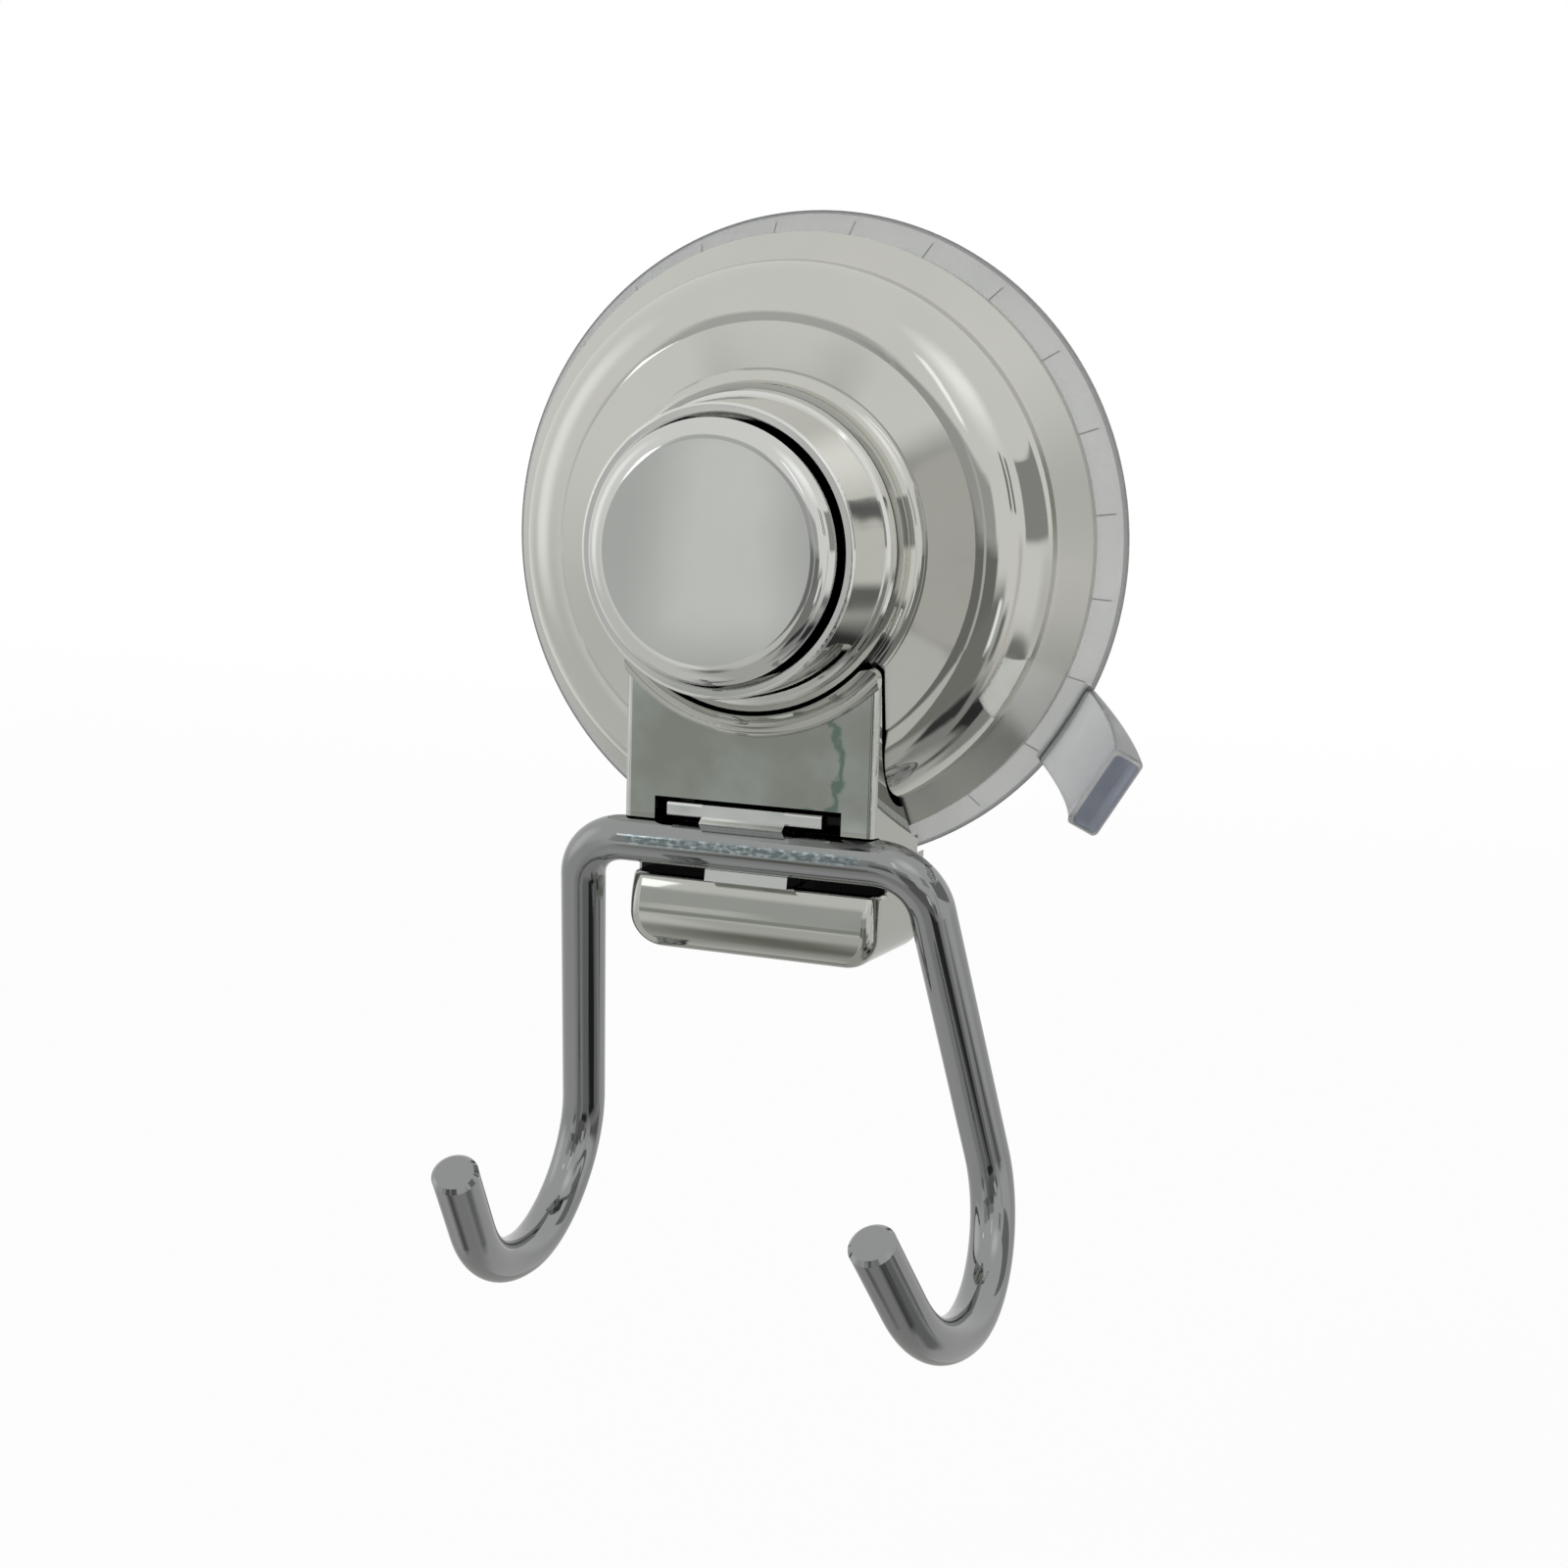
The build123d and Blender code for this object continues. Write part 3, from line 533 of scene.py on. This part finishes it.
def on_skirt(point):
    """Whether a point of the profile is where the lines are."""
    radius, depth = point
    return CUP_LINE_SPAN[0] < radius < CUP_LINE_SPAN[1] and depth > CUP_LINE_LOWEST


def build_cup():
    """The clear cup, with its radial lines sunk into the skirt."""
    profile = cup_profile()
    angles = line_angles()
    mesh = bmesh.new()
    rings = []
    for point in profile:
        radius, depth = point
        if radius < ON_AXIS:
            rings.append([mesh.verts.new(wall_point(0, depth, 0))])
            continue
        ring = []
        for angle, line in angles:
            sink = CUP_LINE_DEPTH * line * on_skirt(point)
            ring.append(mesh.verts.new(wall_point(radius, depth - sink, angle)))
        rings.append(ring)
    count = len(angles)
    for point, a, b in zip(profile, rings, rings[1:]):
        for k in range(count):
            j = (k + 1) % count
            if len(a) == 1:
                mesh.faces.new((a[0], b[k], b[j]))
            elif len(b) == 1:
                mesh.faces.new((a[j], a[k], b[0]))
            else:
                face = mesh.faces.new((a[j], a[k], b[k], b[j]))
                if on_skirt(point) and (angles[k][1] or angles[j][1]):
                    face.material_index = LINE_SLOT
    bmesh.ops.recalc_face_normals(mesh, faces=mesh.faces)
    return mesh


def between(ends, share):
    """The value at a share of the way from one end to the other."""
    return ends[0] + (ends[1] - ends[0]) * share


def tab_ring(mesh, share, shrink, push):
    """One cross-section of the pull tab, a rounded oblong, as vertices."""
    angle = radians(TAB_ANGLE)
    outward = Vector((cos(angle), 0, -sin(angle)))
    forward = Vector((0, -1, 0))
    side = outward.cross(forward)
    start = radians(TAB_CURL[0])
    turn = radians(between(TAB_CURL, share))
    normal = forward * cos(turn) - outward * sin(turn)
    along = outward * cos(turn) + forward * sin(turn)
    half_width = between(TAB_WIDTHS, share) / 2 - shrink
    thick = between(TAB_THICKNESSES, share)
    half_thick = thick / 2 - shrink
    middle = outward * (TAB_ROOT + TAB_CURL_RADIUS * (sin(turn) - sin(start)))
    middle += forward * (TAB_BACK + TAB_CURL_RADIUS * (cos(start) - cos(turn)))
    middle += normal * thick / 2 + along * push
    round_width = min(TAB_ROUND[0], half_width)
    round_thick = TAB_ROUND[1] * between(TAB_ROUND_GROWTH, share)
    round_thick = min(round_thick, TAB_ROUND_MOST * half_thick)
    ring = []
    for corner in range(4):
        for step in range(TAB_CORNER_STEPS):
            a = pi / 2 * (corner + step / (TAB_CORNER_STEPS - 1))
            flip = (1, -1, -1, 1)[corner], (1, 1, -1, -1)[corner]
            u = flip[0] * (half_width - round_width) + round_width * cos(a)
            v = flip[1] * (half_thick - round_thick) + round_thick * sin(a)
            ring.append(mesh.verts.new((middle + side * u + normal * v) * MM))
    return ring


def build_tab():
    """The pull tab, which curls forward and thickens to a flat end."""
    mesh = bmesh.new()
    rings = [tab_ring(mesh, k / TAB_STEPS, 0.0, 0.0) for k in range(TAB_STEPS)]
    rings += [tab_ring(mesh, 1.0, shrink, push) for shrink, push in TAB_END]
    for a, b in zip(rings, rings[1:]):
        for k in range(len(a)):
            j = (k + 1) % len(a)
            mesh.faces.new((a[k], a[j], b[j], b[k]))
    mesh.faces.new(rings[0])
    mesh.faces.new(rings[-1]).material_index = END_SLOT
    bmesh.ops.recalc_face_normals(mesh, faces=mesh.faces)
    return mesh


def object_from(name, mesh, materials):
    """A scene object made of a bmesh."""
    data = bpy.data.meshes.new(name)
    mesh.to_mesh(data)
    mesh.free()
    for material in materials:
        data.materials.append(material)
    piece = bpy.data.objects.new(name, data)
    bpy.context.collection.objects.link(piece)
    return piece


def apply_modifiers(piece):
    """Bakes a piece's modifiers into its mesh."""
    view = bpy.context.evaluated_depsgraph_get()
    data = bpy.data.meshes.new_from_object(piece.evaluated_get(view))
    piece.modifiers.clear()
    piece.data = data


def shade_smooth(piece, angle):
    """Smooth shading, with edges sharper than angle kept."""
    piece.data.shade_smooth()
    piece.data.set_sharp_from_angle(angle=radians(angle))


cup = object_from("cup_body", build_cup(), CUP_MATERIALS)
tab = object_from("tab_body", build_tab(), CUP_MATERIALS)
union = cup.modifiers.new("tab", "BOOLEAN")
union.operation = "UNION"
union.solver = "EXACT"
union.object = tab
apply_modifiers(cup)
bpy.data.objects.remove(tab)
shade_smooth(cup, SMOOTH_ANGLE)
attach(cup, "base")
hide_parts("suction_cup")


def build_spring():
    """The return spring again, as a piece of its own."""
    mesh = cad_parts["return_spring"].data.copy()
    mesh.name = "coil_spring"
    spring = bpy.data.objects.new("coil_spring", mesh)
    bpy.context.collection.objects.link(spring)
    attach(spring, "base")
    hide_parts("return_spring")
    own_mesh(spring)


build_spring()


# Cards of the studio that the chrome mirrors, later ones over earlier ones. Each has its
# span in degrees round from the front (right is positive), its span in degrees up, how soft
# its edges are, and its colour.
STUDIO_WALL = (0.74, 0.74, 0.725)
STUDIO_CARDS = (
    ((-200, 200), (-100, -27), 12, (0.42, 0.42, 0.405)),
    ((-115, -34), (-70, -4), 12, (0.58, 0.58, 0.565)),
    ((115, 198), (-62, -2), 12, (0.58, 0.58, 0.565)),
    ((-4, 42), (-36, -9), 4, (0.20, 0.20, 0.19)),
    ((20, 140), (-62, -36), 6, (0.26, 0.26, 0.255)),
    ((16, 47), (-46.5, -35.5), 3, (0.04, 0.04, 0.042)),
    ((62, 100), (-55.5, -43), 3, (0.03, 0.03, 0.032)),
    ((77, 134), (-33, -25), 3, (0.20, 0.20, 0.195)),
    ((86, 104), (-72, -57), 8, (0.09, 0.09, 0.09)),
    ((-112, -84), (-80, -66), 8, (0.13, 0.13, 0.13)),
    ((74, 128), (1.5, 25), 1.2, (0.28, 0.285, 0.275)),
    ((61, 67), (-40, 2), 3, (0.59, 0.56, 0.53)),
    ((-30, -11), (-11, 18), 3, (0.47, 0.475, 0.465)),
    ((-17, 21), (-1, 10), 2, (0.38, 0.38, 0.375)),
    ((-17, 24), (-13, -1), 2, (0.17, 0.17, 0.165)),
    ((-24, 0.5), (-30, -12.5), 1.0, (0.56, 0.56, 0.545)),
    ((-0.8, 3.4), (-13, 8.5), 0.5, (0.48, 0.475, 0.455)),
    ((48.5, 51.5), (9, 24), 0.6, (0.13, 0.13, 0.135)),
    ((55.5, 58.5), (9, 24), 0.6, (0.13, 0.13, 0.135)),
    ((45, 53), (-30, -16), 3, (0.17, 0.17, 0.17)),
    ((-24.6, -21.2), (-5.6, 0.5), 0.9, (0.645, 0.65, 0.635)),
    ((-27, -15.5), (-10.6, -6.7), 0.4, (0.33, 0.345, 0.32)),
    ((-28, -19.5), (-38, -24), 4, (0.19, 0.19, 0.165)),
    ((22, 56), (30, 54), 12, (1.06, 1.06, 1.05)),
    ((8, 12.5), (17, 35), 1.5, (1.2, 1.21, 1.22)),
    ((-90, -62), (-10, 32), 11, (0.98, 0.98, 0.97)),
    ((34, 40), (-24, -12), 1.5, (1.0, 1.02, 1.04)),
)
STUDIO_WAVER = 2.4  # how far the cards' edges waver, in degrees
WAVER_SCALE = 7.0

# Floor, lamp and reflector, in metres
WHITE = (1, 1, 1, 1)
FLOOR_HALF = 3.0
FLOOR_DROP = 0.06  # below the hooks
FLOOR_WHITE = 0.93  # how white the camera sees it under the hook, where shadow shows
FLOOR_FADE = (0.3, 1.2)  # from there to plain white
FLOOR_COLOUR = (0.9, 0.9, 0.89, 1)

LAMP_PLACE = Vector((-0.45, -0.7, 0.75))
LAMP_AIM = Vector((0, 0, -0.03))
LAMP_POWER = 0.9
LAMP_SIZE = 0.16

REFLECTOR_PLACE = Vector((-79, -147, 24)) * MM
REFLECTOR_AIM = Vector((-13, -19, -31)) * MM
REFLECTOR_HALF = (0.006, 0.010)
REFLECTOR_COLOUR = (0.97, 1, 1, 1)
REFLECTOR_GLOW = 1.7


def seen_directly(tree):
    """1 for what the camera sees itself or through clear pieces, by the Light Path."""
    path = tree.nodes.new("ShaderNodeLightPath")
    rays = path.outputs["Is Camera Ray"], path.outputs["Is Transmission Ray"]
    return math_node(tree, "MAXIMUM", *rays)


def mix_shaders(tree, share, first, second):
    """Mix of two shaders, by a socket."""
    mix = tree.nodes.new("ShaderNodeMixShader")
    for socket, value in zip(mix.inputs, (share, first, second)):
        tree.links.new(value, socket)
    return mix.outputs[0]


def studio_world():
    """Soft pale surroundings with the cards in them, and white where the camera looks."""
    world = bpy.data.worlds.new("studio")
    bpy.context.scene.world = world
    tree = node_tree(world)
    place = tree.nodes.new("ShaderNodeTexCoord")
    axes = tree.nodes.new("ShaderNodeSeparateXYZ")
    tree.links.new(place.outputs["Generated"], axes.inputs[0])
    x, y, z = axes.outputs
    ahead = math_node(tree, "MULTIPLY", y, -1.0)
    round_angle = math_node(tree, "DEGREES", math_node(tree, "ARCTAN2", x, ahead))
    rise_angle = math_node(tree, "DEGREES", math_node(tree, "ARCSINE", z))
    cells = add_node(tree, "ShaderNodeTexNoise", Scale=WAVER_SCALE, Detail=2.0)
    tree.links.new(place.outputs["Generated"], cells.inputs["Vector"])
    waver = math_node(tree, "SUBTRACT", cells.outputs["Fac"], 0.5)
    waver = math_node(tree, "MULTIPLY", waver, STUDIO_WAVER)
    round_angle = math_node(tree, "ADD", round_angle, waver)
    colour = STUDIO_WALL
    for span_round, span_up, soft, card in STUDIO_CARDS:
        shares = []
        for angle, (low, high) in ((round_angle, span_round), (rise_angle, span_up)):
            offset = math_node(tree, "SUBTRACT", angle, (low + high) / 2)
            away = math_node(tree, "ABSOLUTE", offset)
            half = (high - low) / 2
            shares.append(soft_step(tree, away, half + soft, half - soft))
        share = math_node(tree, "MULTIPLY", shares[0], shares[1])
        colour = mix_colour(tree, share, colour, card)
    studio = tree.nodes.new("ShaderNodeBackground")
    tree.links.new(colour, studio.inputs["Color"])
    white = add_node(tree, "ShaderNodeBackground", Color=WHITE, Strength=1.0)
    both = mix_shaders(tree, seen_directly(tree), studio.outputs[0], white.outputs[0])
    output = tree.nodes.new("ShaderNodeOutputWorld")
    tree.links.new(both, output.inputs["Surface"])


def set_camera():
    """The camera that took the photograph."""
    a, e, r = CAMERA_YAW, CAMERA_PITCH, CAMERA_ROLL
    back = Vector((sin(a) * cos(e), -cos(a) * cos(e), sin(e)))
    right = Vector((cos(a), sin(a), 0))
    up = back.cross(right)
    rolled_right = right * cos(r) + up * sin(r)
    rolled_up = up * cos(r) - right * sin(r)
    turn = Matrix((rolled_right, rolled_up, back)).transposed()
    data = bpy.data.cameras.new("camera")
    data.sensor_fit = "HORIZONTAL"
    data.sensor_width = SENSOR_WIDTH
    data.lens = FOCAL_PIXELS / FRAME_PIXELS * SENSOR_WIDTH
    data.clip_start = 0.01
    camera = bpy.data.objects.new("camera", data)
    camera.matrix_world = Matrix.Translation(turn @ CAMERA_OFFSET) @ turn.to_4x4()
    bpy.context.collection.objects.link(camera)
    bpy.context.scene.camera = camera


def flat_board(name, half_width, half_depth, material):
    """A flat oblong that faces up, in metres."""
    x, y = half_width, half_depth
    mesh = bpy.data.meshes.new(name)
    mesh.from_pydata([(-x, -y, 0), (x, -y, 0), (x, y, 0), (-x, y, 0)], [], [(0, 1, 2, 3)])
    mesh.materials.append(material)
    board = bpy.data.objects.new(name, mesh)
    bpy.context.collection.objects.link(board)
    return board


def pale_floor():
    """White floor that takes a little shadow, and that the chrome doesn't mirror."""
    material, tree, shader = surface("pale_floor")
    shader.inputs["Base Color"].default_value = FLOOR_COLOUR
    shader.inputs["Roughness"].default_value = 0.9
    glow = add_node(tree, "ShaderNodeEmission", Color=WHITE, Strength=1.0)
    x, y, _ = own_axes(tree)
    sides = [math_node(tree, "ABSOLUTE", side) for side in (x, y)]
    far = soft_step(tree, math_node(tree, "MAXIMUM", *sides), *FLOOR_FADE)
    fade = math_node(tree, "MULTIPLY_ADD", far, 1 - FLOOR_WHITE, FLOOR_WHITE)
    share = math_node(tree, "MULTIPLY", seen_directly(tree), fade)
    pale = mix_shaders(tree, share, shader.outputs[0], glow.outputs[0])
    clear = tree.nodes.new("ShaderNodeBsdfTransparent")
    glossy = tree.nodes.new("ShaderNodeLightPath").outputs["Is Glossy Ray"]
    output = next(node for node in tree.nodes if node.type == "OUTPUT_MATERIAL")
    tree.links.new(mix_shaders(tree, glossy, pale, clear.outputs[0]), output.inputs["Surface"])
    floor = flat_board("floor", FLOOR_HALF, FLOOR_HALF, material)
    floor.location.z = CAD_BOX[0][2] - FLOOR_DROP


def key_light():
    """Small lamp at the upper left front, which the chrome doesn't mirror."""
    data = bpy.data.lights.new("key", "AREA")
    data.energy = LAMP_POWER
    data.size = LAMP_SIZE
    lamp = bpy.data.objects.new("key", data)
    lamp.location = LAMP_PLACE
    lamp.rotation_euler = (LAMP_AIM - LAMP_PLACE).to_track_quat("-Z", "Y").to_euler()
    lamp.visible_glossy = False
    bpy.context.collection.objects.link(lamp)


def reflector():
    """Small white board at the left front, which only shows as a glint on the crossbar."""
    material = bpy.data.materials.new("white_board")
    tree = node_tree(material)
    glow = add_node(
        tree, "ShaderNodeEmission", Color=REFLECTOR_COLOUR, Strength=REFLECTOR_GLOW
    )
    output = tree.nodes.new("ShaderNodeOutputMaterial")
    tree.links.new(glow.outputs[0], output.inputs["Surface"])
    board = flat_board("reflector", *REFLECTOR_HALF, material)
    board.location = REFLECTOR_PLACE
    toward = REFLECTOR_AIM - REFLECTOR_PLACE
    board.rotation_euler = toward.to_track_quat("Z", "Y").to_euler()
    for ray in ("camera", "diffuse", "transmission", "shadow"):
        setattr(board, "visible_" + ray, False)


bpy.context.scene.view_settings.view_transform = "Standard"
studio_world()
set_camera()
pale_floor()
key_light()
reflector()
